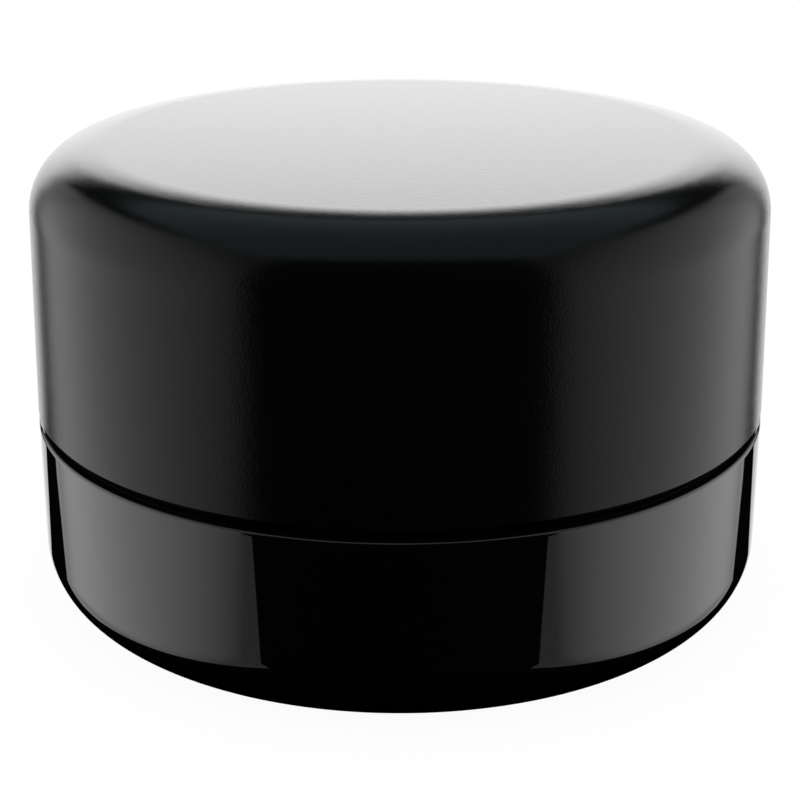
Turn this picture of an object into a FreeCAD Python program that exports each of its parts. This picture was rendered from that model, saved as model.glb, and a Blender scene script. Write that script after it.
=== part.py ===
import FreeCAD, Part

import os

import Sketcher

# A low screw-lidded cream jar with a double wall, in millimetres.
# The origin is the centre of the base and +Z is up, along the jar's axis.
# Rotational outlines are drawn in the XZ plane as (radius, level) points,
# and every point is a named cell of the two sheets below.

DRIVING = {
    # overall form
    "jar_radius": (30.0, "outer jar, outside"),
    "jar_height": (15.6, "outer jar, base to shoulder"),
    "lid_gap": (0.8, "shadow gap between shoulder and lid"),
    "total_height": (37.8, "base to the flat top of the lid"),
    "lid_radius": (30.0, "lid, at its lower edge"),
    "lid_corner_radius": (29.59, "lid, where its tapered side would meet the slope of the crown"),
    "lid_round": (4.9, "large rounded edge of the lid"),
    "crown_radius": (24.5, "where the flat top would meet the slope of the crown"),
    "crown_drop": (0.9, "fall of that slope, from the flat top to the lid's side"),
    "crown_round": (12.0, "soft arc that leads from the flat top into the rounded edge"),
    "base_round": (5.2, "rounded bottom edge of the outer jar"),
    "shoulder_round": (0.45, "crisp edge of the jar's shoulder"),
    "edge_round": (0.3, "small moulded edges"),
    "root_sink": (0.5, "how far ribs, keys and beads are rooted in their wall"),
    # outer jar
    "jar_wall": (1.9, "side wall"),
    "jar_floor": (2.0, "base thickness"),
    "foot_radius": (21.0, "inner edge of the foot ring"),
    "foot_depth": (0.7, "recess inside the foot ring"),
    "bore_round": (3.2, "rounded corner inside the base"),
    "strut_width": (1.2, "ribs that stand on the floor under the cup"),
    "strut_inner": (4.0, "inner end of those ribs"),
    "strut_outer": (19.0, "outer end of those ribs"),
    "strut_gap": (0.1, "clearance between those ribs and the cup"),
    "strut_count": (6, "number of those ribs"),
    # inner cup
    "cup_radius": (22.4, "inside of the cup at its rim"),
    "cup_draft": (0.4, "the cup is this much narrower at its floor"),
    "cup_wall": (1.8, "wall of cup and neck"),
    "cup_base_level": (3.9, "underside of the cup"),
    "cup_floor": (1.8, "floor thickness of the cup"),
    "cup_round": (6.0, "rounded corner inside the cup, for a finger or spatula"),
    "cup_heel_round": (7.4, "rounded corner under the cup"),
    "rim_level": (28.5, "sealing rim of the neck"),
    "rim_round": (0.45, "edges of the sealing rim"),
    "flange_radius": (29.0, "flange that seats on the outer jar"),
    "flange_height": (0.7, "flange above the shoulder"),
    "web_depth": (1.2, "flange web below the shoulder"),
    "skirt_wall": (1.2, "snap skirt of the cup"),
    "skirt_depth": (6.1, "snap skirt, from the shoulder down"),
    "snap_clearance": (0.1, "clearance of the snap skirt in the jar"),
    "snap_height": (0.3, "snap bead of the skirt"),
    "snap_level": (10.9, "middle of the snap bead"),
    "snap_half": (0.45, "half width of the snap bead at its foot"),
    # screw thread, single start, six turns per inch
    "thread_pitch": (4.233, "lead of the thread"),
    "thread_turns": (1.25, "turns of thread on neck and insert"),
    "thread_height": (1.2, "radial height of each thread"),
    "thread_root": (2.2, "axial width at the root"),
    "thread_crest": (0.9, "axial width at the crest"),
    "thread_sink": (0.2, "how far the thread's foot is buried in the wall"),
    "thread_play": (0.15, "axial gap at the loaded flanks when closed"),
    "thread_clearance": (0.3, "radial gap at both crests"),
    "thread_start": (19.6, "middle of the neck thread at its lower end"),
    # lid shell
    "shell_bore": (28.0, "inside radius of the shell"),
    "shell_top": (1.8, "thickness of the flat top"),
    "shell_round": (3.4, "rounded corner inside the shell"),
    "web_width": (1.2, "webs that press on the insert"),
    "web_inner": (3.0, "inner end of the webs"),
    "web_outer": (26.0, "outer end of the webs"),
    "web_count": (8, "number of webs"),
    "boss_radius": (4.0, "central boss under the top"),
    "key_width": (3.0, "anti-rotation keys in the shell"),
    "key_height": (0.65, "radial height of the keys"),
    "key_low": (19.0, "lower end of the keys"),
    "key_high": (30.0, "upper end of the keys"),
    "key_count": (12, "number of keys"),
    "catch_height": (0.5, "snap bead that holds the insert in the shell"),
    "catch_low": (17.1, "lower foot of that bead"),
    "catch_high": (18.1, "upper foot of that bead"),
    # lid insert
    "insert_wall": (1.5, "side wall of the insert"),
    "insert_top": (1.4, "top plate of the insert"),
    "insert_edge": (0.2, "the insert ends this far above the shell's edge"),
    "rib_width": (1.4, "drive ribs outside the insert"),
    "rib_height": (0.65, "radial height of the drive ribs"),
    "rib_low": (18.2, "lower end of the drive ribs"),
    "rib_high": (31.2, "upper end of the drive ribs"),
    "rib_count": (36, "number of drive ribs"),
    "bead_height": (0.9, "bead that keeps the liner in the insert"),
    "bead_width": (0.9, "axial width of that bead at its foot"),
    "bead_gap": (0.1, "gap between that bead and the liner"),
    # liner and sealing disc
    "liner_thickness": (1.5, "foam liner"),
    "liner_clearance": (0.3, "radial clearance of the liner"),
    "disc_thickness": (0.8, "disc's flange on the rim"),
    "disc_radius": (24.0, "outside of the disc"),
    "dish_clearance": (0.25, "radial clearance of the dish in the neck"),
    "dish_depth": (1.7, "dish below the rim"),
    "dish_wall": (0.8, "wall and floor of the dish"),
    "tab_length": (12.0, "finger tab"),
    "tab_width": (1.6, "thickness of the tab"),
    "tab_gap": (0.15, "gap between tab and liner"),
}

# Levels and radii that follow from the driving sizes.
DERIVED = {
    "jar_bore": "dims.jar_radius - dims.jar_wall",
    "jar_floor_level": "dims.foot_depth + dims.jar_floor",
    "strut_top": "dims.cup_base_level - dims.strut_gap",
    "strut_foot": "derived.jar_floor_level - dims.root_sink",
    "groove_radius": "dims.jar_radius - dims.jar_wall + dims.snap_height",
    "groove_low": "dims.snap_level - dims.snap_half - dims.snap_clearance",
    "groove_high": "dims.snap_level + dims.snap_half + dims.snap_clearance",
    "cup_floor_level": "dims.cup_base_level + dims.cup_floor",
    "cup_floor_radius": "dims.cup_radius - dims.cup_draft",
    "neck_radius": "dims.cup_radius + dims.cup_wall",
    "cup_foot_radius": "dims.cup_radius + dims.cup_wall - dims.cup_draft",
    "web_level": "dims.jar_height - dims.web_depth",
    "skirt_radius": "dims.jar_radius - dims.jar_wall - dims.snap_clearance",
    "skirt_bore": "derived.skirt_radius - dims.skirt_wall",
    "skirt_level": "dims.jar_height - dims.skirt_depth",
    "snap_radius": "derived.skirt_radius + dims.snap_height",
    "snap_root": "derived.skirt_radius - dims.root_sink",
    "snap_low": "dims.snap_level - dims.snap_half",
    "snap_high": "dims.snap_level + dims.snap_half",
    "flange_level": "dims.jar_height + dims.flange_height",
    "lid_level": "dims.jar_height + dims.lid_gap",
    "crown_level": "dims.total_height - dims.crown_drop",
    "shell_ceiling": "dims.total_height - dims.shell_top",
    "catch_radius": "dims.shell_bore - dims.catch_height",
    "catch_mid": "(dims.catch_low + dims.catch_high) / 2",
    "shell_root": "dims.shell_bore + dims.root_sink",
    "ceiling_root": "derived.shell_ceiling + dims.root_sink",
    "key_radius": "dims.shell_bore - dims.key_height",
    "insert_bore": "derived.neck_radius + dims.thread_height + dims.thread_clearance",
    "insert_radius": "derived.insert_bore + dims.insert_wall",
    "insert_level": "derived.lid_level + dims.insert_edge",
    "rib_root": "derived.insert_radius - dims.root_sink",
    "rib_radius": "derived.insert_radius + dims.rib_height",
    "liner_level": "dims.rim_level + dims.disc_thickness",
    "liner_radius": "derived.insert_bore - dims.liner_clearance",
    "insert_ceiling": "derived.liner_level + dims.liner_thickness",
    "insert_top_level": "derived.insert_ceiling + dims.insert_top",
    "bead_root": "derived.insert_bore + dims.root_sink",
    "bead_radius": "derived.insert_bore - dims.bead_height",
    "bead_high": "derived.liner_level - dims.bead_gap",
    "bead_low": "derived.bead_high - dims.bead_width",
    "bead_mid": "(derived.bead_high + derived.bead_low) / 2",
    "dish_radius": "dims.cup_radius - dims.dish_clearance",
    "dish_bore": "derived.dish_radius - dims.dish_wall",
    "dish_under": "dims.rim_level - dims.dish_depth",
    "dish_floor": "derived.dish_under + dims.dish_wall",
    "tab_top": "derived.liner_level - dims.tab_gap",
    "flank_run": "2 * (dims.thread_height + dims.thread_sink)",
    "flank_lean": "(dims.thread_root - dims.thread_crest) / derived.flank_run",
    "flank_span": "dims.thread_height + dims.thread_clearance + 2 * dims.thread_sink",
    "screw_drop": "dims.thread_root - derived.flank_lean * derived.flank_span",
    "screw_start": "dims.thread_start - derived.screw_drop - dims.thread_play",
}

AXIS = "axis"  # stands for zero in an outline
FULL_TURN = 360.0
NUDGE = 1e-4   # tolerance when an edge is looked up by its radius and level

doc = FreeCAD.newDocument("cream_jar")


def make_sheets():
    """Put the driving sizes in one sheet and the sizes that follow in another."""
    dims = doc.addObject("Spreadsheet::Sheet", "dims")
    for row, (alias, (number, meaning)) in enumerate(DRIVING.items(), start=1):
        dims.set(f"A{row}", meaning)
        dims.set(f"B{row}", str(number))
        dims.setAlias(f"B{row}", alias)
    doc.recompute()
    derived = doc.addObject("Spreadsheet::Sheet", "derived")
    for row, alias in enumerate(DERIVED, start=1):
        derived.setAlias(f"B{row}", alias)
    for row, (alias, formula) in enumerate(DERIVED.items(), start=1):
        derived.set(f"A{row}", alias)
        derived.set(f"B{row}", "=" + formula.replace("derived.", ""))
    doc.recompute()
    return dims, derived


dims, derived = make_sheets()


def cell(name):
    """The expression that reads a named size."""
    if name == AXIS:
        return "0"
    return f"dims.{name}" if name in DRIVING else f"derived.{name}"


def size(name):
    """The present value of a named size."""
    if name == AXIS:
        return 0.0
    return float((dims if name in DRIVING else derived).get(name))


def new_body(label):
    body = doc.addObject("PartDesign::Body", label)
    body.Label = label
    return body


def origin_plane(body, role):
    return next(item for item in body.Origin.OriginFeatures if item.Role == role)


def new_sketch(body, name, role="XZ_Plane"):
    sketch = body.newObject("Sketcher::SketchObject", name)
    sketch.AttachmentSupport = (origin_plane(body, role), "")
    sketch.MapMode = "FlatFace"
    return sketch


def closed_outline(sketch, points, expressions):
    """Join points with lines and drive every coordinate by an expression."""
    count = len(points)
    for index, point in enumerate(points):
        start = FreeCAD.Vector(point[0], point[1], 0)
        end = FreeCAD.Vector(*points[(index + 1) % count], 0)
        sketch.addGeometry(Part.LineSegment(start, end))
    for index in range(count):
        joint = Sketcher.Constraint("Coincident", index, 2, (index + 1) % count, 1)
        sketch.addConstraint(joint)
    for index, pair in enumerate(expressions):
        for kind, number, expression in zip(("DistanceX", "DistanceY"), points[index], pair):
            slot = sketch.addConstraint(Sketcher.Constraint(kind, -1, 1, index, 1, number))
            sketch.setExpression(f"Constraints[{slot}]", expression)


def turned(body, name, outline, cut=False):
    """Revolve an outline of (radius, level) names about the jar's axis."""
    sketch = new_sketch(body, f"{name}_outline")
    points = [(size(radius), size(level)) for radius, level in outline]
    expressions = [(cell(radius), cell(level)) for radius, level in outline]
    closed_outline(sketch, points, expressions)
    kind = "PartDesign::Groove" if cut else "PartDesign::Revolution"
    feature = body.newObject(kind, name)
    feature.Profile = sketch
    feature.ReferenceAxis = (sketch, ["V_Axis"])
    feature.Angle = FULL_TURN
    doc.recompute()
    return feature


def ring_edge(feature, radius, level):
    """The name of the circular edge with a given radius and level."""
    for index, edge in enumerate(feature.Shape.Edges, start=1):
        if not isinstance(edge.Curve, Part.Circle):
            continue
        same_radius = abs(edge.Curve.Radius - radius) < NUDGE
        same_level = abs(edge.Curve.Center.z - level) < NUDGE
        if same_radius and same_level:
            return f"Edge{index}"
    raise ValueError(f"{feature.Label} has no ring of radius {radius} at level {level}")


def rounded(body, name, rings, radius_name):
    """Fillet the ring edges at the named (radius, level) places."""
    base = body.Tip
    edges = [ring_edge(base, size(radius), size(level)) for radius, level in rings]
    fillet = body.newObject("PartDesign::Fillet", name)
    fillet.Base = (base, edges)
    fillet.Radius = size(radius_name)
    fillet.setExpression("Radius", cell(radius_name))
    doc.recompute()
    return fillet


def rib_ring(body, name, inner, outer, low, high, width, count, shift=False):
    """Radial ribs: one pad, repeated round the axis, shifted by half a space if asked."""
    sketch = new_sketch(body, f"{name}_outline", "XY_Plane")
    half = size(width) / 2
    near, far = size(inner), size(outer)
    points = [(near, -half), (far, -half), (far, half), (near, half)]
    low_y, high_y = f"-{cell(width)} / 2", f"{cell(width)} / 2"
    near_x, far_x = cell(inner), cell(outer)
    expressions = [(near_x, low_y), (far_x, low_y), (far_x, high_y), (near_x, high_y)]
    closed_outline(sketch, points, expressions)
    sketch.setExpression(".AttachmentOffset.Base.z", cell(low))
    if shift:
        sketch.setExpression(".AttachmentOffset.Rotation.Angle", f"180 / {cell(count)}")
    rib = body.newObject("PartDesign::Pad", f"{name}_one")
    rib.Profile = sketch
    rib.Length = size(high) - size(low)
    rib.setExpression("Length", f"{cell(high)} - {cell(low)}")
    doc.recompute()
    ring = body.newObject("PartDesign::PolarPattern", name)
    ring.Originals = [rib]
    ring.Axis = (sketch, ["N_Axis"])
    ring.Angle = FULL_TURN
    ring.Occurrences = int(size(count))
    ring.setExpression("Occurrences", cell(count))
    body.Tip = ring
    doc.recompute()
    return ring


def thread(body, name, foot, crest, middle):
    """A single-start helical thread that rises counter-clockwise seen from above."""
    sketch = new_sketch(body, f"{name}_profile")
    root_half = size("thread_root") / 2
    crest_half = size("thread_crest") / 2
    points = [
        (foot[0], size(middle) - root_half),
        (crest[0], size(middle) - crest_half),
        (crest[0], size(middle) + crest_half),
        (foot[0], size(middle) + root_half),
    ]
    root_half_cell = f"{cell('thread_root')} / 2"
    crest_half_cell = f"{cell('thread_crest')} / 2"
    expressions = [
        (foot[1], f"{cell(middle)} - {root_half_cell}"),
        (crest[1], f"{cell(middle)} - {crest_half_cell}"),
        (crest[1], f"{cell(middle)} + {crest_half_cell}"),
        (foot[1], f"{cell(middle)} + {root_half_cell}"),
    ]
    closed_outline(sketch, points, expressions)
    helix = body.newObject("PartDesign::AdditiveHelix", name)
    helix.Profile = sketch
    helix.ReferenceAxis = (sketch, ["V_Axis"])
    helix.Mode = "pitch-turns-angle"
    helix.Pitch = size("thread_pitch")
    helix.setExpression("Pitch", cell("thread_pitch"))
    helix.Turns = size("thread_turns")
    helix.setExpression("Turns", cell("thread_turns"))
    helix.LeftHanded = False
    doc.recompute()
    return helix


def make_outer_jar():
    body = new_body("outer_jar")
    turned(body, "jar_blank", [
        (AXIS, "foot_depth"),
        ("foot_radius", "foot_depth"),
        ("foot_radius", AXIS),
        ("jar_radius", AXIS),
        ("jar_radius", "jar_height"),
        ("jar_bore", "jar_height"),
        ("jar_bore", "jar_floor_level"),
        (AXIS, "jar_floor_level"),
    ])
    rounded(body, "bottom_edge", [("jar_radius", AXIS)], "base_round")
    rounded(body, "inner_corner", [("jar_bore", "jar_floor_level")], "bore_round")
    rounded(body, "shoulder_edge", [("jar_radius", "jar_height")], "shoulder_round")
    small = [("jar_bore", "jar_height"), ("foot_radius", "foot_depth"), ("foot_radius", AXIS)]
    rounded(body, "small_edges", small, "edge_round")
    turned(body, "snap_groove", [
        ("jar_bore", "groove_low"),
        ("groove_radius", "snap_low"),
        ("groove_radius", "snap_high"),
        ("jar_bore", "groove_high"),
    ], cut=True)
    rib_ring(body, "struts", "strut_inner", "strut_outer", "strut_foot", "strut_top",
             "strut_width", "strut_count")
    return body


def make_inner_cup():
    body = new_body("inner_cup")
    turned(body, "cup_blank", [
        (AXIS, "cup_base_level"),
        ("cup_foot_radius", "cup_base_level"),
        ("neck_radius", "web_level"),
        ("skirt_bore", "web_level"),
        ("skirt_bore", "skirt_level"),
        ("skirt_radius", "skirt_level"),
        ("skirt_radius", "jar_height"),
        ("flange_radius", "jar_height"),
        ("flange_radius", "flange_level"),
        ("neck_radius", "flange_level"),
        ("neck_radius", "rim_level"),
        ("cup_radius", "rim_level"),
        ("cup_floor_radius", "cup_floor_level"),
        (AXIS, "cup_floor_level"),
    ])
    rounded(body, "heel", [("cup_foot_radius", "cup_base_level")], "cup_heel_round")
    rounded(body, "scoop_corner", [("cup_floor_radius", "cup_floor_level")], "cup_round")
    rounded(body, "rim", [("neck_radius", "rim_level"), ("cup_radius", "rim_level")], "rim_round")
    turned(body, "snap_bead", [
        ("snap_root", "snap_low"),
        ("skirt_radius", "snap_low"),
        ("snap_radius", "snap_level"),
        ("skirt_radius", "snap_high"),
        ("snap_root", "snap_high"),
    ])
    foot = (size("neck_radius") - size("thread_sink"), "derived.neck_radius - dims.thread_sink")
    crest = (size("neck_radius") + size("thread_height"), "derived.neck_radius + dims.thread_height")
    thread(body, "neck_thread", foot, crest, "thread_start")
    return body


def make_sealing_disc():
    body = new_body("sealing_disc")
    turned(body, "disc_blank", [
        (AXIS, "dish_under"),
        ("dish_radius", "dish_under"),
        ("dish_radius", "rim_level"),
        ("disc_radius", "rim_level"),
        ("disc_radius", "liner_level"),
        ("dish_bore", "liner_level"),
        ("dish_bore", "dish_floor"),
        (AXIS, "dish_floor"),
    ])
    small = [("disc_radius", "liner_level"), ("disc_radius", "rim_level")]
    small += [("dish_radius", "dish_under"), ("dish_bore", "dish_floor")]
    rounded(body, "disc_edges", small, "edge_round")
    sketch = new_sketch(body, "tab_outline", "XY_Plane")
    half_length, half_width = size("tab_length") / 2, size("tab_width") / 2
    points = [
        (-half_length, -half_width),
        (half_length, -half_width),
        (half_length, half_width),
        (-half_length, half_width),
    ]
    far, near = "dims.tab_length / 2", "dims.tab_width / 2"
    corners = [("-" + far, "-" + near), (far, "-" + near), (far, near), ("-" + far, near)]
    closed_outline(sketch, points, corners)
    sketch.setExpression(".AttachmentOffset.Base.z", cell("dish_floor"))
    tab = body.newObject("PartDesign::Pad", "finger_tab")
    tab.Profile = sketch
    tab.Length = size("tab_top") - size("dish_floor")
    tab.setExpression("Length", "derived.tab_top - derived.dish_floor")
    doc.recompute()
    return body


def make_lid_liner():
    liner = doc.addObject("Part::Cylinder", "lid_liner")
    liner.Label = "lid_liner"
    liner.setExpression("Radius", cell("liner_radius"))
    liner.setExpression("Height", cell("liner_thickness"))
    liner.setExpression(".Placement.Base.z", cell("liner_level"))
    doc.recompute()
    return liner


def make_lid_insert():
    body = new_body("lid_insert")
    turned(body, "insert_blank", [
        (AXIS, "insert_ceiling"),
        ("insert_bore", "insert_ceiling"),
        ("insert_bore", "insert_level"),
        ("insert_radius", "insert_level"),
        ("insert_radius", "insert_top_level"),
        (AXIS, "insert_top_level"),
    ])
    small = [("insert_bore", "insert_level"), ("insert_radius", "insert_level")]
    small += [("insert_radius", "insert_top_level")]
    rounded(body, "insert_edges", small, "edge_round")
    turned(body, "liner_bead", [
        ("bead_root", "bead_low"),
        ("insert_bore", "bead_low"),
        ("bead_radius", "bead_mid"),
        ("insert_bore", "bead_high"),
        ("bead_root", "bead_high"),
    ])
    rib_ring(body, "drive_ribs", "rib_root", "rib_radius", "rib_low", "rib_high",
             "rib_width", "rib_count", shift=True)
    foot = (size("insert_bore") + size("thread_sink"), "derived.insert_bore + dims.thread_sink")
    crest = (size("insert_bore") - size("thread_height"), "derived.insert_bore - dims.thread_height")
    thread(body, "insert_thread", foot, crest, "screw_start")
    return body


def make_lid_shell():
    body = new_body("lid_shell")
    turned(body, "shell_blank", [
        (AXIS, "shell_ceiling"),
        ("shell_bore", "shell_ceiling"),
        ("shell_bore", "lid_level"),
        ("lid_radius", "lid_level"),
        ("lid_corner_radius", "crown_level"),
        ("crown_radius", "total_height"),
        (AXIS, "total_height"),
    ])
    rounded(body, "crown_edge", [("lid_corner_radius", "crown_level")], "lid_round")
    rounded(body, "crown_start", [("crown_radius", "total_height")], "crown_round")
    rounded(body, "ceiling_corner", [("shell_bore", "shell_ceiling")], "shell_round")
    rounded(body, "lower_edges", [("shell_bore", "lid_level"), ("lid_radius", "lid_level")],
            "edge_round")
    turned(body, "insert_catch", [
        ("shell_root", "catch_low"),
        ("shell_bore", "catch_low"),
        ("catch_radius", "catch_mid"),
        ("shell_bore", "catch_high"),
        ("shell_root", "catch_high"),
    ])
    turned(body, "boss", [
        (AXIS, "insert_top_level"),
        ("boss_radius", "insert_top_level"),
        ("boss_radius", "ceiling_root"),
        (AXIS, "ceiling_root"),
    ])
    rib_ring(body, "webs", "web_inner", "web_outer", "insert_top_level", "ceiling_root",
             "web_width", "web_count")
    rib_ring(body, "keys", "key_radius", "shell_root", "key_low", "key_high",
             "key_width", "key_count")
    return body


def report_states():
    """Stop if any object failed to recompute."""
    doc.recompute()
    for item in doc.Objects:
        if "Invalid" in item.State or "Error" in item.State:
            raise RuntimeError(f"{item.Label} failed: {item.State}")


def write_steps(pieces):
    os.makedirs("parts", exist_ok=True)
    for piece in pieces:
        shape = piece.Shape
        if shape.isNull() or not shape.isValid() or len(shape.Solids) != 1:
            raise RuntimeError(f"{piece.Label} is not one valid solid")
        print(f"{piece.Label}: {shape.Volume:.1f} mm3, {shape.BoundBox}")
    for piece in pieces:
        piece.Shape.exportStep(f"parts/{piece.Label}.step")


pieces = [
    make_outer_jar(),
    make_inner_cup(),
    make_sealing_disc(),
    make_lid_liner(),
    make_lid_insert(),
    make_lid_shell(),
]
report_states()
write_steps(pieces)
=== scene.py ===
import math

import bmesh
import bpy
from mathutils import Matrix, Vector


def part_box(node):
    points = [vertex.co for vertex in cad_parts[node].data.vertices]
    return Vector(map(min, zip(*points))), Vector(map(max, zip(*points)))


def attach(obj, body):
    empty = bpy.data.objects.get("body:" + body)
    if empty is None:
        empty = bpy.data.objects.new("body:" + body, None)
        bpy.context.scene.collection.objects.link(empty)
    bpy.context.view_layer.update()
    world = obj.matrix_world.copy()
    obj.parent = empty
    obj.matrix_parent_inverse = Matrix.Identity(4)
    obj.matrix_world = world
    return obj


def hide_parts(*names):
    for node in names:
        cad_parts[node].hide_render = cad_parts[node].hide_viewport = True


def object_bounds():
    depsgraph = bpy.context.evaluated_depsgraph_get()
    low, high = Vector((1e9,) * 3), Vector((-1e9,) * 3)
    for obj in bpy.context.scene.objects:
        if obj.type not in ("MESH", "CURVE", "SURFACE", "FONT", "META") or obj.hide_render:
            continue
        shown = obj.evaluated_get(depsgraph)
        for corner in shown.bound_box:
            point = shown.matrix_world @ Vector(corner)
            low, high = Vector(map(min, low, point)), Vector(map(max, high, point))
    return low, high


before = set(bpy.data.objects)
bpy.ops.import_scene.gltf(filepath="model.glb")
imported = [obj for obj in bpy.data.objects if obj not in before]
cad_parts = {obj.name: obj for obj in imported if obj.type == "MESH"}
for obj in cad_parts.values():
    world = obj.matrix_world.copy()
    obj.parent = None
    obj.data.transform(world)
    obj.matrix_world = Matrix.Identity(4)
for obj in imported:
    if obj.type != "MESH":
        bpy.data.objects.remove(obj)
cad_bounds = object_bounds()

MM = 0.001            # outlines below are in millimetres, Blender works in metres
SEGMENTS = 192        # steps round the axis
ARC_STEP = math.radians(2.5)
HOLD = 0.08           # distance of a holding loop from the end of a flat stretch, mm
LONGEST = 3.0         # longest facet along an outline, mm
ON_AXIS = 1e-6        # a smaller radius than this is the axis itself, mm
SHARP = math.radians(40)


# ---------------------------------------------------------------- sizes from the frame

def extent(node):
    """Outside radius, lowest level and highest level of a CAD node, in mm."""
    low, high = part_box(node)
    return high.x / MM, low.z / MM, high.z / MM


JAR_RADIUS, JAR_LOW, JAR_HIGH = extent("outer_jar")
LID_RADIUS, LID_LOW, LID_HIGH = extent("lid_shell")
INSERT_RADIUS, INSERT_LOW, INSERT_HIGH = extent("lid_insert")
CUP_RADIUS, CUP_LOW, CUP_HIGH = extent("inner_cup")
DISC_RADIUS, DISC_LOW, DISC_HIGH = extent("sealing_disc")
LINER_RADIUS, LINER_LOW, LINER_HIGH = extent("lid_liner")

SMALL_ROUND = 0.3


# ---------------------------------------------------------------- mesh tools

def arc_points(before, corner, after, radius):
    """The points of the arc that rounds a corner between two straight lines."""
    to_before = (before - corner).normalized()
    to_after = (after - corner).normalized()
    opening = to_before.angle(to_after)
    reach = radius / math.tan(opening / 2)
    start = corner + to_before * reach
    end = corner + to_after * reach
    bisector = (to_before + to_after).normalized()
    centre = corner + bisector * (radius / math.sin(opening / 2))
    sweep = math.pi - opening
    count = max(3, math.ceil(sweep / ARC_STEP))
    first = start - centre
    turn = math.copysign(1.0, first.cross(end - centre))
    points = []
    for step in range(count + 1):
        angle = turn * sweep * step / count
        points.append(centre + Matrix.Rotation(angle, 2) @ first)
    return points


def outline(corners):
    """Round the corners (radius, level, rounding) and hold the flats between them."""
    places = [Vector((corner[0], corner[1])) for corner in corners]
    runs = []
    for index, corner in enumerate(corners):
        rounding = corner[2] if len(corner) > 2 else 0.0
        inner = 0 < index < len(corners) - 1
        if rounding and inner:
            runs.append(arc_points(places[index - 1], places[index], places[index + 1], rounding))
        else:
            runs.append([places[index]])
    points = list(runs[0])
    for run in runs[1:]:
        points += flat_points(points[-1], run[0])
        points += run
    return points


def flat_points(start, end):
    """Points inside a flat stretch: one close to each end and more if it is long."""
    length = (end - start).length
    if length < 3 * HOLD:
        return []
    direction = (end - start) / length
    count = math.ceil((length - 2 * HOLD) / LONGEST)
    stride = (length - 2 * HOLD) / count
    return [start + direction * (HOLD + stride * step) for step in range(count + 1)]


def lathe(bm, points):
    """Revolve points (radius, level) in mm; points on the axis become poles."""
    rings = []
    for point in points:
        if point.x < ON_AXIS:
            rings.append([bm.verts.new((0, 0, point.y * MM))])
            continue
        ring = []
        for step in range(SEGMENTS):
            angle = math.tau * step / SEGMENTS
            x, y = point.x * math.cos(angle), point.x * math.sin(angle)
            ring.append(bm.verts.new((x * MM, y * MM, point.y * MM)))
        rings.append(ring)
    for lower, upper in zip(rings, rings[1:]):
        for step in range(SEGMENTS):
            after = (step + 1) % SEGMENTS
            corners = [
                lower[step % len(lower)],
                lower[after % len(lower)],
                upper[after % len(upper)],
                upper[step % len(upper)],
            ]
            unique = list(dict.fromkeys(corners))
            bm.faces.new(unique)


def finish_mesh(name, bm):
    """Turn the finished bmesh into a smooth piece with sharp corners kept."""
    bmesh.ops.recalc_face_normals(bm, faces=bm.faces)
    mesh = bpy.data.meshes.new(name)
    bm.to_mesh(mesh)
    bm.free()
    piece = bpy.data.objects.new(name, mesh)
    bpy.context.scene.collection.objects.link(piece)
    for face in mesh.polygons:
        face.use_smooth = True
    mesh.set_sharp_from_angle(angle=SHARP)
    return piece


BOX_ROUND = 0.15


def rounded_box(bm, low, high, spin=0.0, rounding=BOX_ROUND):
    """A box from low to high in mm with rounded edges, turned about the axis."""
    size = [(top - bottom) * MM for bottom, top in zip(low, high)]
    centre = [(top + bottom) / 2 * MM for bottom, top in zip(low, high)]
    made = bmesh.ops.create_cube(bm, size=1.0)["verts"]
    bmesh.ops.scale(bm, vec=size, verts=made)
    bmesh.ops.translate(bm, vec=centre, verts=made)
    edges = list(dict.fromkeys(edge for vert in made for edge in vert.link_edges))
    bevel = bmesh.ops.bevel(bm, geom=edges, offset=rounding * MM, segments=2,
                            profile=0.5, affect="EDGES")
    verts = list(dict.fromkeys(vert for face in bevel["faces"] for vert in face.verts))
    bmesh.ops.rotate(bm, cent=(0, 0, 0), matrix=Matrix.Rotation(spin, 3, "Z"), verts=verts)


def boxes_around(bm, count, low, high, first=0.0):
    """Rounded boxes evenly round the axis; first is the place of the first, in steps."""
    for index in range(count):
        rounded_box(bm, low, high, math.tau * (index + first) / count)


THREAD_PITCH = 4.233              # six turns per inch
THREAD_TURNS = 1.25
THREAD_HEIGHT = 1.2
THREAD_SINK = 0.2                 # depth of its root inside the wall
THREAD_ROOT = 2.2                 # width at the wall
THREAD_CREST = 0.9                # width at the top
THREAD_ROUND = 0.22               # rounding of the top's edges
THREAD_CORNER = 0.06              # how far that rounding cuts the corner
THREAD_FLARE = 0.1
THREAD_FADE = math.radians(28)    # length of the fading at each end
THREAD_END_WIDTH = 0.55           # share of the width left where it ends
THREAD_STEPS = 150


def thread_section():
    """Points (height over the wall, place across) round the thread's cross-section."""
    half_root, half_crest = THREAD_ROOT / 2, THREAD_CREST / 2
    lower_half = [
        (-THREAD_SINK, -half_root),
        (0.0, -half_root + 0.05),
        (THREAD_HEIGHT - THREAD_ROUND, -half_crest - THREAD_FLARE),
        (THREAD_HEIGHT - THREAD_CORNER, -half_crest + THREAD_CORNER),
        (THREAD_HEIGHT, -half_crest + THREAD_ROUND),
    ]
    return lower_half + [(height, -across) for height, across in reversed(lower_half)]


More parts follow.
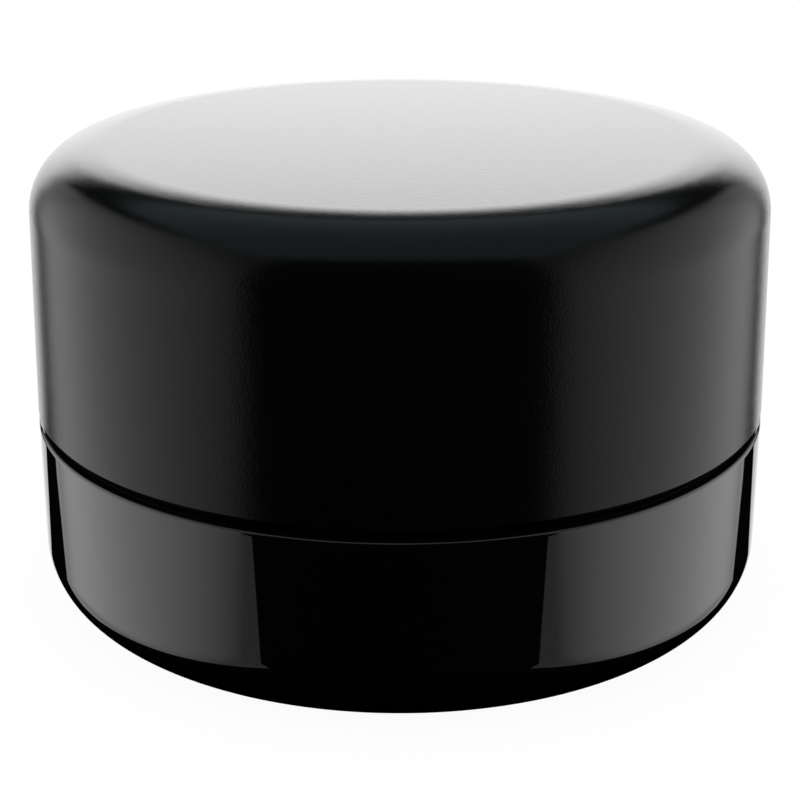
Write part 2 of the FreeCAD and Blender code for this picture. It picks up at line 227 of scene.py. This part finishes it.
def thread(bm, wall, outward, start_level):
    """A single-start thread on a wall of that radius, fading into it at both ends."""
    section = thread_section()
    length = math.tau * THREAD_TURNS
    rings = []
    for step in range(THREAD_STEPS + 1):
        angle = length * step / THREAD_STEPS
        near_end = min(angle, length - angle) / THREAD_FADE
        share = min(1.0, near_end)
        share = share * share * (3 - 2 * share)
        level = start_level + THREAD_PITCH * angle / math.tau
        ring = []
        for height, across in section:
            rise = height * share if height > 0 else height
            radius = wall + (rise if outward else -rise)
            width = THREAD_END_WIDTH + (1 - THREAD_END_WIDTH) * share
            x, y = radius * math.cos(angle), radius * math.sin(angle)
            ring.append(bm.verts.new((x * MM, y * MM, (level + across * width) * MM)))
        rings.append(ring)
    count = len(section)
    for first, second in zip(rings, rings[1:]):
        for index in range(count):
            after = (index + 1) % count
            bm.faces.new((first[index], first[after], second[after], second[index]))
    bm.faces.new(rings[0])
    bm.faces.new(reversed(rings[-1]))


# ---------------------------------------------------------------- pieces

JAR_WALL = 1.9
JAR_BORE = JAR_RADIUS - JAR_WALL
FOOT_RADIUS = 21.0
FOOT_DEPTH = 0.7
JAR_FLOOR = FOOT_DEPTH + 2.0
JAR_FLOOR_ROUND = 3.2
BASE_ROUND = 5.2
SHOULDER_ROUND = 0.3
SNAP_LOW, SNAP_MIDDLE, SNAP_HIGH = 10.45, 10.9, 11.35
SNAP_HEIGHT = 0.3
SNAP_CLEARANCE = 0.1
SNAP_ROUND = 0.05
GATE_MARK_INNER, GATE_MARK_RIDGE, GATE_MARK_OUTER = 1.6, 2.0, 2.4
GATE_MARK_HEIGHT = 0.25
STRUT_COUNT = 6
STRUT_INNER, STRUT_OUTER = 4.0, 19.0
STRUT_HALF_WIDTH = 0.6
STRUT_TOP = CUP_LOW - 0.1
SUNK = 0.3            # depth to which ribs and boxes are sunk into their wall


def make_outer_jar():
    """The outer wall with its foot ring, snap groove and floor struts."""
    bm = bmesh.new()
    lathe(bm, outline([
        (0, FOOT_DEPTH),
        (GATE_MARK_INNER, FOOT_DEPTH, 0.2),
        (GATE_MARK_RIDGE, FOOT_DEPTH + GATE_MARK_HEIGHT, 0.2),
        (GATE_MARK_OUTER, FOOT_DEPTH, 0.2),
        (FOOT_RADIUS, FOOT_DEPTH, SMALL_ROUND),
        (FOOT_RADIUS, JAR_LOW, SMALL_ROUND),
        (JAR_RADIUS, JAR_LOW, BASE_ROUND),
        (JAR_RADIUS, JAR_HIGH, SHOULDER_ROUND),
        (JAR_BORE, JAR_HIGH, SMALL_ROUND),
        (JAR_BORE, SNAP_HIGH + SNAP_CLEARANCE, SNAP_ROUND),
        (JAR_BORE + SNAP_HEIGHT, SNAP_HIGH, SNAP_ROUND),
        (JAR_BORE + SNAP_HEIGHT, SNAP_LOW, SNAP_ROUND),
        (JAR_BORE, SNAP_LOW - SNAP_CLEARANCE, SNAP_ROUND),
        (JAR_BORE, JAR_FLOOR, JAR_FLOOR_ROUND),
        (0, JAR_FLOOR),
    ]))
    low = (STRUT_INNER, -STRUT_HALF_WIDTH, JAR_FLOOR - SUNK)
    high = (STRUT_OUTER, STRUT_HALF_WIDTH, STRUT_TOP)
    boxes_around(bm, STRUT_COUNT, low, high)
    return finish_mesh("glossy_outer_jar", bm)


CUP_BORE = 22.4
CUP_FLOOR_BORE = 22.0
NECK_RADIUS = 24.2
CUP_FOOT_RADIUS = 23.8
CUP_FOOT_ROUND = 7.4
CUP_FLOOR = CUP_LOW + 1.8
CUP_FLOOR_ROUND = 6.0
CUP_LIP_ROUND = 0.45
WEB_LEVEL = JAR_HIGH - 1.2
SKIRT_OUT = JAR_BORE - 0.1
SKIRT_IN = SKIRT_OUT - 1.2
SKIRT_LOW = JAR_HIGH - 6.1
FLANGE_TOP = JAR_HIGH + 0.7
NECK_THREAD_START = 19.6


def make_inner_cup():
    """The cup with its neck, flange and snap skirt."""
    bm = bmesh.new()
    lathe(bm, outline([
        (0, CUP_LOW),
        (CUP_FOOT_RADIUS, CUP_LOW, CUP_FOOT_ROUND),
        (NECK_RADIUS, WEB_LEVEL, 0.2),
        (SKIRT_IN, WEB_LEVEL, 0.2),
        (SKIRT_IN, SKIRT_LOW, 0.2),
        (SKIRT_OUT, SKIRT_LOW, 0.2),
        (SKIRT_OUT, SNAP_LOW),
        (SKIRT_OUT + SNAP_HEIGHT, SNAP_MIDDLE, 0.1),
        (SKIRT_OUT, SNAP_HIGH),
        (SKIRT_OUT, JAR_HIGH),
        (CUP_RADIUS, JAR_HIGH, 0.12),
        (CUP_RADIUS, FLANGE_TOP, 0.2),
        (NECK_RADIUS, FLANGE_TOP, 0.25),
        (NECK_RADIUS, CUP_HIGH, CUP_LIP_ROUND),
        (CUP_BORE, CUP_HIGH, CUP_LIP_ROUND),
        (CUP_FLOOR_BORE, CUP_FLOOR, CUP_FLOOR_ROUND),
        (0, CUP_FLOOR),
    ]))
    thread(bm, NECK_RADIUS, True, NECK_THREAD_START)
    return finish_mesh("threaded_inner_cup", bm)


DISH_RADIUS = CUP_BORE - 0.25
DISH_BORE = DISH_RADIUS - 0.8
DISH_FLOOR = DISC_LOW + 0.8
DISH_RING_INNER, DISH_RING_OUTER = 14.8, 16.2
DISH_RING_HEIGHT = 0.25
DISH_RING_SLOPE = 0.3
TAB_HALF_LENGTH, TAB_HALF_WIDTH = 6.0, 0.8
TAB_ROUND = 0.35
TAB_HIGH = DISC_HIGH - 0.15


def make_sealing_disc():
    """The dished disc with a stiffening ring and a finger tab."""
    bm = bmesh.new()
    lathe(bm, outline([
        (0, DISC_LOW),
        (DISH_RADIUS, DISC_LOW, 0.3),
        (DISH_RADIUS, CUP_HIGH, 0.1),
        (DISC_RADIUS, CUP_HIGH, 0.25),
        (DISC_RADIUS, DISC_HIGH, 0.3),
        (DISH_BORE, DISC_HIGH, 0.3),
        (DISH_BORE, DISH_FLOOR, 0.4),
        (DISH_RING_OUTER, DISH_FLOOR, 0.1),
        (DISH_RING_OUTER - DISH_RING_SLOPE, DISH_FLOOR + DISH_RING_HEIGHT, 0.1),
        (DISH_RING_INNER + DISH_RING_SLOPE, DISH_FLOOR + DISH_RING_HEIGHT, 0.1),
        (DISH_RING_INNER, DISH_FLOOR, 0.1),
        (0, DISH_FLOOR),
    ]))
    low = (-TAB_HALF_LENGTH, -TAB_HALF_WIDTH, DISH_FLOOR - SUNK)
    high = (TAB_HALF_LENGTH, TAB_HALF_WIDTH, TAB_HIGH)
    rounded_box(bm, low, high, rounding=TAB_ROUND)
    return finish_mesh("sealing_disc_with_tab", bm)


PRESS_INNER, PRESS_OUTER = 22.3, 24.3      # ring that the disc's rim has pressed
PRESS_DEPTH = 0.12
PRESS_SLOPE = 0.3


def make_liner():
    """The foam gasket inside the lid."""
    bm = bmesh.new()
    lathe(bm, outline([
        (0, LINER_LOW),
        (PRESS_INNER, LINER_LOW, 0.2),
        (PRESS_INNER + PRESS_SLOPE, LINER_LOW + PRESS_DEPTH, 0.2),
        (PRESS_OUTER - PRESS_SLOPE, LINER_LOW + PRESS_DEPTH, 0.2),
        (PRESS_OUTER, LINER_LOW, 0.2),
        (LINER_RADIUS, LINER_LOW, 0.15),
        (LINER_RADIUS, LINER_HIGH, 0.15),
        (0, LINER_HIGH),
    ]))
    return finish_mesh("foam_liner", bm)


RIB_HEIGHT = 0.65
RIB_HALF_WIDTH = 0.7
RIB_LOW, RIB_HIGH = 18.2, 31.2
RIB_COUNT = 36
INSERT_OUT = INSERT_RADIUS - RIB_HEIGHT
INSERT_BORE = NECK_RADIUS + 1.5
SCREW_START = NECK_THREAD_START - 1.468
BEAD_LOW, BEAD_HIGH = LINER_LOW - 1.0, LINER_LOW - 0.1
BEAD_HEIGHT = 0.9


def make_lid_insert():
    """The inner screw cap with its thread, liner bead and drive ribs."""
    bm = bmesh.new()
    lathe(bm, outline([
        (0, LINER_HIGH),
        (INSERT_BORE, LINER_HIGH, 0.2),
        (INSERT_BORE, BEAD_HIGH, 0.1),
        (INSERT_BORE - BEAD_HEIGHT, (BEAD_LOW + BEAD_HIGH) / 2, 0.2),
        (INSERT_BORE, BEAD_LOW, 0.1),
        (INSERT_BORE, INSERT_LOW, 0.3),
        (INSERT_OUT, INSERT_LOW, 0.3),
        (INSERT_OUT, INSERT_HIGH, 0.3),
        (0, INSERT_HIGH),
    ]))
    thread(bm, INSERT_BORE, False, SCREW_START)
    low = (INSERT_OUT - SUNK, -RIB_HALF_WIDTH, RIB_LOW)
    high = (INSERT_RADIUS, RIB_HALF_WIDTH, RIB_HIGH)
    boxes_around(bm, RIB_COUNT, low, high, first=0.5)
    return finish_mesh("lid_screw_insert", bm)


SHELL_BORE = 28.0
SHELL_CEILING = LID_HIGH - 1.8
SHELL_CEILING_ROUND = 3.4
LID_CORNER_RADIUS = LID_RADIUS - 0.41
LID_CORNER_LEVEL = LID_HIGH - 0.9
LID_CORNER_ROUND = 4.9
CROWN_RADIUS = 24.5
CROWN_ROUND = 12.0
BOSS_RADIUS = 4.0
LID_FOOT_ROUND = 0.22
CATCH_LOW, CATCH_HIGH = 17.1, 18.1         # bead that the insert snaps past
CATCH_HEIGHT = 0.5
KEY_COUNT = 12
KEY_HEIGHT = 0.65
KEY_HALF_WIDTH = 1.5
KEY_LOW, KEY_HIGH = 19.0, 30.0
WEB_COUNT = 8
WEB_INNER, WEB_OUTER = 3.0, 26.0
WEB_HALF_WIDTH = 0.6
SHELL_SUNK = 0.5      # depth to which keys and webs are sunk into the shell


def make_lid_shell():
    """The outer lid with its snap catch, keys between the ribs, webs and boss."""
    bm = bmesh.new()
    lathe(bm, outline([
        (0, INSERT_HIGH),
        (BOSS_RADIUS, INSERT_HIGH, 0.15),
        (BOSS_RADIUS, SHELL_CEILING, 0.15),
        (SHELL_BORE, SHELL_CEILING, SHELL_CEILING_ROUND),
        (SHELL_BORE, CATCH_HIGH, 0.1),
        (SHELL_BORE - CATCH_HEIGHT, (CATCH_LOW + CATCH_HIGH) / 2, 0.2),
        (SHELL_BORE, CATCH_LOW, 0.1),
        (SHELL_BORE, LID_LOW, SMALL_ROUND),
        (LID_RADIUS, LID_LOW, LID_FOOT_ROUND),
        (LID_CORNER_RADIUS, LID_CORNER_LEVEL, LID_CORNER_ROUND),
        (CROWN_RADIUS, LID_HIGH, CROWN_ROUND),
        (0, LID_HIGH),
    ]))
    key_low = (SHELL_BORE - KEY_HEIGHT, -KEY_HALF_WIDTH, KEY_LOW)
    key_high = (SHELL_BORE + SHELL_SUNK, KEY_HALF_WIDTH, KEY_HIGH)
    boxes_around(bm, KEY_COUNT, key_low, key_high)
    web_low = (WEB_INNER, -WEB_HALF_WIDTH, INSERT_HIGH)
    web_high = (WEB_OUTER, WEB_HALF_WIDTH, SHELL_CEILING + SHELL_SUNK)
    boxes_around(bm, WEB_COUNT, web_low, web_high)
    return finish_mesh("matte_lid_shell", bm)


# ---------------------------------------------------------------- materials

def new_material(name):
    """A new material, its node tree and its Principled shader."""
    material = bpy.data.materials.new(name)
    material.use_nodes = True
    tree = material.node_tree
    return material, tree, tree.nodes["Principled BSDF"]


def object_place(tree):
    """The shaded point in the piece's own coordinates."""
    return tree.nodes.new("ShaderNodeTexCoord").outputs["Object"]


def noise(tree, scale, detail=2.0, roughness=0.5):
    """Noise around 0.5; scale is in features per metre."""
    texture = tree.nodes.new("ShaderNodeTexNoise")
    texture.inputs["Scale"].default_value = scale
    texture.inputs["Detail"].default_value = detail
    texture.inputs["Roughness"].default_value = roughness
    tree.links.new(object_place(tree), texture.inputs["Vector"])
    return texture.outputs["Fac"]


def ramp(tree, source, start, end, low, high):
    """Go from low to high in a straight line between start and end, and hold outside."""
    node = tree.nodes.new("ShaderNodeMapRange")
    node.inputs["From Min"].default_value = start
    node.inputs["From Max"].default_value = end
    node.inputs["To Min"].default_value = low
    node.inputs["To Max"].default_value = high
    tree.links.new(source, node.inputs["Value"])
    return node.outputs["Result"]


def spread(tree, source, low, high):
    """Stretch noise, which stays near the middle of 0..1, to low..high."""
    return ramp(tree, source, 0.25, 0.75, low, high)


def tint(tree, source, dark, light):
    """Mix two colours by a 0..1 value."""
    node = tree.nodes.new("ShaderNodeMix")
    node.data_type = "RGBA"
    node.inputs["A"].default_value = (*dark, 1)
    node.inputs["B"].default_value = (*light, 1)
    tree.links.new(source, node.inputs["Factor"])
    return node.outputs["Result"]


def bump(tree, source, depth, below=None):
    """A bump of that depth in metres, over an earlier bump if there is one."""
    node = tree.nodes.new("ShaderNodeBump")
    node.inputs["Distance"].default_value = depth
    node.inputs["Strength"].default_value = 1.0
    tree.links.new(source, node.inputs["Height"])
    if below:
        tree.links.new(below, node.inputs["Normal"])
    return node.outputs["Normal"]


def shade(tree, shader, colour, roughness, specular, normal=None):
    """Plug colour, roughness, specular level and normal into the shader."""
    tree.links.new(colour, shader.inputs["Base Color"])
    tree.links.new(roughness, shader.inputs["Roughness"])
    shader.inputs["Specular IOR Level"].default_value = specular
    if normal:
        tree.links.new(normal, shader.inputs["Normal"])


def matte_black():
    """Fine moulded grain with pores, which blurs the light it mirrors."""
    material, tree, shader = new_material("lid_matte")
    grain = noise(tree, 2600, 3.0, 0.55)
    pores = noise(tree, 8000, 2.0, 0.5)
    dark, light = (0.0030, 0.0030, 0.0031), (0.0052, 0.0052, 0.0053)
    colour = tint(tree, noise(tree, 60), dark, light)
    coarse = bump(tree, grain, depth=4.0e-6)
    fine = bump(tree, pores, depth=11.5e-6, below=coarse)
    shade(tree, shader, colour, spread(tree, grain, 0.115, 0.155), 0.16, fine)
    return material


def gloss_black():
    """Polished plastic with a trace of haze."""
    material, tree, shader = new_material("jar_gloss")
    haze = noise(tree, 900, 3.0)
    dark, light = (0.0034, 0.0034, 0.0035), (0.0050, 0.0050, 0.0051)
    colour = tint(tree, noise(tree, 45), dark, light)
    shade(tree, shader, colour, spread(tree, haze, 0.018, 0.032), 0.5)
    return material


def satin_black(name, tone, roughness, specular, grain_depth):
    """Black plastic as it comes from the mould; tone is its darkest grey."""
    material, tree, shader = new_material(name)
    grain = noise(tree, 1500, 3.0)
    dark, light = (tone, tone, tone), (2 * tone, 2 * tone, 2 * tone)
    colour = tint(tree, noise(tree, 80), dark, light)
    rough = spread(tree, grain, roughness - 0.04, roughness + 0.04)
    shade(tree, shader, colour, rough, specular, bump(tree, grain, grain_depth))
    return material


def natural_plastic():
    """Uncoloured, slightly translucent plastic."""
    material, tree, shader = new_material("disc_plastic")
    cloud = noise(tree, 180, 3.0)
    grain = noise(tree, 1800)
    colour = tint(tree, cloud, (0.70, 0.71, 0.70), (0.80, 0.81, 0.80))
    rough = spread(tree, grain, 0.34, 0.46)
    shade(tree, shader, colour, rough, 0.5, bump(tree, grain, depth=6e-6))
    shader.inputs["Subsurface Weight"].default_value = 0.25
    shader.inputs["Subsurface Radius"].default_value = (0.003, 0.003, 0.003)
    shader.inputs["Subsurface Scale"].default_value = 0.5
    return material


def white_foam():
    """Fine closed cells with a slightly uneven skin."""
    material, tree, shader = new_material("liner_foam_cells")
    cells = tree.nodes.new("ShaderNodeTexVoronoi")
    cells.inputs["Scale"].default_value = 4200
    tree.links.new(object_place(tree), cells.inputs["Vector"])
    cloud = noise(tree, 120)
    colour = tint(tree, cloud, (0.76, 0.76, 0.74), (0.88, 0.88, 0.86))
    rough = spread(tree, cloud, 0.62, 0.74)
    shade(tree, shader, colour, rough, 0.5, bump(tree, cells.outputs["Distance"], depth=30e-6))
    return material


# ---------------------------------------------------------------- assembly

def install(piece, body, node, material):
    """Put a piece on its body in place of its CAD node."""
    piece.data.materials.append(material)
    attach(piece, body)
    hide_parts(node)


# Painted shade in the gap under the lid: the cup's tone is darker and its specular level far lower
# than the insert's, so its flange stays black there.
cup_black_for_gap_shade = satin_black("cup_black_for_gap_shade", tone=0.0008, roughness=0.09, specular=0.04, grain_depth=1e-6)
insert_satin = satin_black("insert_satin", tone=0.004, roughness=0.42, specular=0.5, grain_depth=6e-6)
install(make_outer_jar(), "jar", "outer_jar", gloss_black())
install(make_inner_cup(), "jar", "inner_cup", cup_black_for_gap_shade)
install(make_sealing_disc(), "disc", "sealing_disc", natural_plastic())
install(make_liner(), "lid", "lid_liner", white_foam())
install(make_lid_insert(), "lid", "lid_insert", insert_satin)
install(make_lid_shell(), "lid", "lid_shell", matte_black())


# ---------------------------------------------------------------- studio

STUDIO = 0.6          # distance of the light panels from the jar, metres
MIDDLE = 0.016        # level the panels are arranged round, metres


def value_node(tree, operation, first, second, third=None):
    """A maths node whose inputs are numbers or the outputs of other nodes."""
    node = tree.nodes.new("ShaderNodeMath")
    node.operation = operation
    for socket, source in zip(node.inputs, (first, second, third)):
        if isinstance(source, (int, float)):
            socket.default_value = source
        elif source is not None:
            tree.links.new(source, socket)
    return node.outputs["Value"]


def emitter(name, colour):
    """A new emission material, its node tree and its emission node."""
    material = bpy.data.materials.new(name)
    material.use_nodes = True
    tree = material.node_tree
    tree.nodes.clear()
    light = tree.nodes.new("ShaderNodeEmission")
    light.inputs["Color"].default_value = (*colour, 1)
    out = tree.nodes.new("ShaderNodeOutputMaterial")
    tree.links.new(light.outputs["Emission"], out.inputs["Surface"])
    return material, tree, light


def panel_plane(tree):
    """The two coordinates of a point in its panel, in studio distances."""
    parts = tree.nodes.new("ShaderNodeSeparateXYZ")
    tree.links.new(object_place(tree), parts.inputs["Vector"])
    return parts.outputs["X"], parts.outputs["Y"]


SOFTBOX_PEAK = 1.97                 # strength at the brightest spot
SOFTBOX_SPOT = (0.27, -0.10)        # where that spot is on the panel
SOFTBOX_REACH = (1.41, 1.30)        # distance at which the glow round it ends
SOFTBOX_FALL = 0.93                 # how squarely the glow falls off
EDGE_GLOW, EDGE_GLOW_SLOPE = 0.52, 0.17


def softbox_light():
    """Brightest round one spot and dimmer towards the panel's edges."""
    material, tree, light = emitter("softbox_light", (1, 1, 1))
    across, up = panel_plane(tree)
    edge_glow = value_node(tree, "MULTIPLY_ADD", across, EDGE_GLOW_SLOPE, EDGE_GLOW)
    shares = []
    for place, spot, reach in zip((across, up), SOFTBOX_SPOT, SOFTBOX_REACH):
        shares.append(value_node(tree, "MULTIPLY_ADD", place, 1 / reach, -spot / reach))
    distance = value_node(tree, "MULTIPLY", shares[0], shares[0])
    distance = value_node(tree, "MULTIPLY_ADD", shares[1], shares[1], distance)
    distance = value_node(tree, "POWER", distance, SOFTBOX_FALL)
    strength = value_node(tree, "MULTIPLY_ADD", distance, -SOFTBOX_PEAK, SOFTBOX_PEAK)
    strength = value_node(tree, "MAXIMUM", strength, edge_glow)
    tree.links.new(strength, light.inputs["Strength"])
    return material


BACK_LOW, BACK_HIGH = -0.33, 0.24   # levels between which the back light climbs
BACK_BASE, BACK_CLIMB = 1.15, 1.92  # its strength low down, and what it gains
BACK_SIDE_LOSS = 0.4


def back_light():
    """Brighter above the level of the jar than low down, and dimmer to the sides."""
    material, tree, light = emitter("back_light", (1.0, 0.985, 1.0))
    across, up = panel_plane(tree)
    climb = ramp(tree, up, BACK_LOW, BACK_HIGH, 0.0, 1.0)
    climb = value_node(tree, "MULTIPLY", climb, climb)
    strength = value_node(tree, "MULTIPLY_ADD", climb, BACK_CLIMB, BACK_BASE)
    side_share = value_node(tree, "MULTIPLY", across, across)
    side_share = value_node(tree, "MULTIPLY_ADD", side_share, -BACK_SIDE_LOSS, 1.0)
    strength = value_node(tree, "MULTIPLY", strength, side_share)
    tree.links.new(strength, light.inputs["Strength"])
    return material


TOP_EVEN, TOP_EDGE = 0.2, 0.93      # where the top light starts to fade, and its edge
TOP_STRENGTH, TOP_EDGE_STRENGTH = 0.60, 0.38


def top_light():
    """Cooler than the others, and dimmer towards the back."""
    material, tree, light = emitter("top_light", (0.8, 1.0, 1.05))
    backward = panel_plane(tree)[0]
    strength = ramp(tree, backward, TOP_EVEN, TOP_EDGE, TOP_STRENGTH, TOP_EDGE_STRENGTH)
    tree.links.new(strength, light.inputs["Strength"])
    return material


def symmetrical(half):
    """A closed outline from the points of its right half."""
    return half + [(-x, y) for x, y in reversed(half)]


def light_panel(name, shape, pose, material):
    """A flat glowing shape that lights the jar but does not show to the camera."""
    mesh = bpy.data.meshes.new(name)
    mesh.from_pydata([(x, y, 0) for x, y in shape], [], [tuple(range(len(shape)))])
    mesh.materials.append(material)
    panel = bpy.data.objects.new(name, mesh)
    bpy.context.scene.collection.objects.link(panel)
    panel.matrix_world = Matrix.Translation((0, 0, MIDDLE)) @ pose @ Matrix.Scale(STUDIO, 4)
    panel.visible_camera = False


def facing(yaw, tilt, roll, place):
    """Pose of a panel that looks along +X before it is turned, tilted and rolled."""
    upright = Matrix(((0, 0, 1, 0), (1, 0, 0, 0), (0, 1, 0, 0), (0, 0, 0, 1)))
    turn = Matrix.Rotation(math.radians(yaw), 4, "Z")
    lean = Matrix.Rotation(math.radians(-tilt), 4, "Y")
    spin = Matrix.Rotation(math.radians(roll), 4, "Z")
    return Matrix.Translation(Vector(place) * STUDIO) @ turn @ lean @ upright @ spin


# Outlines of the panels, in studio distances.
SIDE_SHAPE = [
    (-0.896, -1.12), (1.45, -1.12), (1.61, -1.0), (1.49, -0.77), (1.36, -0.60),
    (1.52, -0.50), (1.49, 1.03), (-0.97, 0.80), (-0.78, -0.60),
]
BACK_HALF = [(0.43, -0.62), (0.70, -0.42), (0.72, 0.16), (0.59, 0.395), (0.20, 0.482)]
TOP_SHAPE = [(-1.1, -0.9), (0.4, -0.9), (0.93, -0.4), (0.93, 0.4), (0.4, 0.9), (-1.1, 0.9)]


def make_panels():
    """A softbox on either side, the second a mirror image, and panels behind and above."""
    left = facing(8.5, -8, -11, (-1, 0, 0))
    mirror = Matrix.Scale(-1, 4, (1, 0, 0))
    softbox = softbox_light()
    light_panel("softbox_left", SIDE_SHAPE, left, softbox)
    light_panel("softbox_right", SIDE_SHAPE, mirror @ left, softbox)
    behind = facing(-90, 0, 0, (0, 1, 0))
    light_panel("back_panel", symmetrical(BACK_HALF), behind, back_light())
    above = facing(0, -90, 0, (0, 0.4, 1))
    light_panel("top_panel", TOP_SHAPE, above, top_light())


FLOOR_RADIUS = 3.0
PAINTED_SHADOW_REACH = 0.012         # how far the painted contact shadow reaches, metres
CONTACT_BASE, CONTACT_GAIN = 0.95, 0.06


def make_floor():
    """A white glowing floor with a painted contact shadow, a little darker, where the jar stands on
    it.
    """
    ground = (0, 0, cad_bounds[0][2])
    bpy.ops.mesh.primitive_circle_add(vertices=128, radius=FLOOR_RADIUS, fill_type="NGON",
                                      location=ground)
    floor = bpy.context.object
    floor.name = "floor"
    material, tree, light = emitter("floor_white", (1, 1, 1))
    # Painted contact shadow: the floor's glow drops a little where the AO node finds the jar close
    # by.
    painted_shadow = tree.nodes.new("ShaderNodeAmbientOcclusion")
    painted_shadow.inputs["Distance"].default_value = PAINTED_SHADOW_REACH
    open_share = painted_shadow.outputs["AO"]
    strength = value_node(tree, "MULTIPLY_ADD", open_share, CONTACT_GAIN, CONTACT_BASE)
    tree.links.new(strength, light.inputs["Strength"])
    floor.data.materials.append(material)
    floor.visible_glossy = False
    floor.visible_diffuse = False


def make_world():
    """A white surround that only the camera sees; the panels do all the lighting."""
    world = bpy.data.worlds.new("white_surround")
    world.use_nodes = True
    background = world.node_tree.nodes["Background"]
    background.inputs["Color"].default_value = (1, 1, 1, 1)
    background.inputs["Strength"].default_value = 1.0
    world.cycles_visibility.diffuse = False
    world.cycles_visibility.glossy = False
    bpy.context.scene.world = world


make_panels()
make_floor()
make_world()


# ---------------------------------------------------------------- camera

CAMERA_LENS = 85.0
CAMERA_SENSOR = 36.0
CAMERA_ELEVATION = math.radians(20.307)
CAMERA_DISTANCE = 0.15970
CAMERA_TARGET = Vector((0, 0, 0.01515))


def make_camera():
    """Look down on the jar from the front."""
    data = bpy.data.cameras.new("camera")
    data.lens = CAMERA_LENS
    data.sensor_width = CAMERA_SENSOR
    data.clip_start = 0.001
    data.clip_end = 50
    camera = bpy.data.objects.new("camera", data)
    bpy.context.scene.collection.objects.link(camera)
    back = -math.cos(CAMERA_ELEVATION) * CAMERA_DISTANCE
    up = math.sin(CAMERA_ELEVATION) * CAMERA_DISTANCE
    camera.location = CAMERA_TARGET + Vector((0, back, up))
    view = CAMERA_TARGET - camera.location
    camera.rotation_euler = view.to_track_quat("-Z", "Y").to_euler()
    bpy.context.scene.camera = camera


make_camera()
bpy.context.scene.view_settings.view_transform = "Standard"
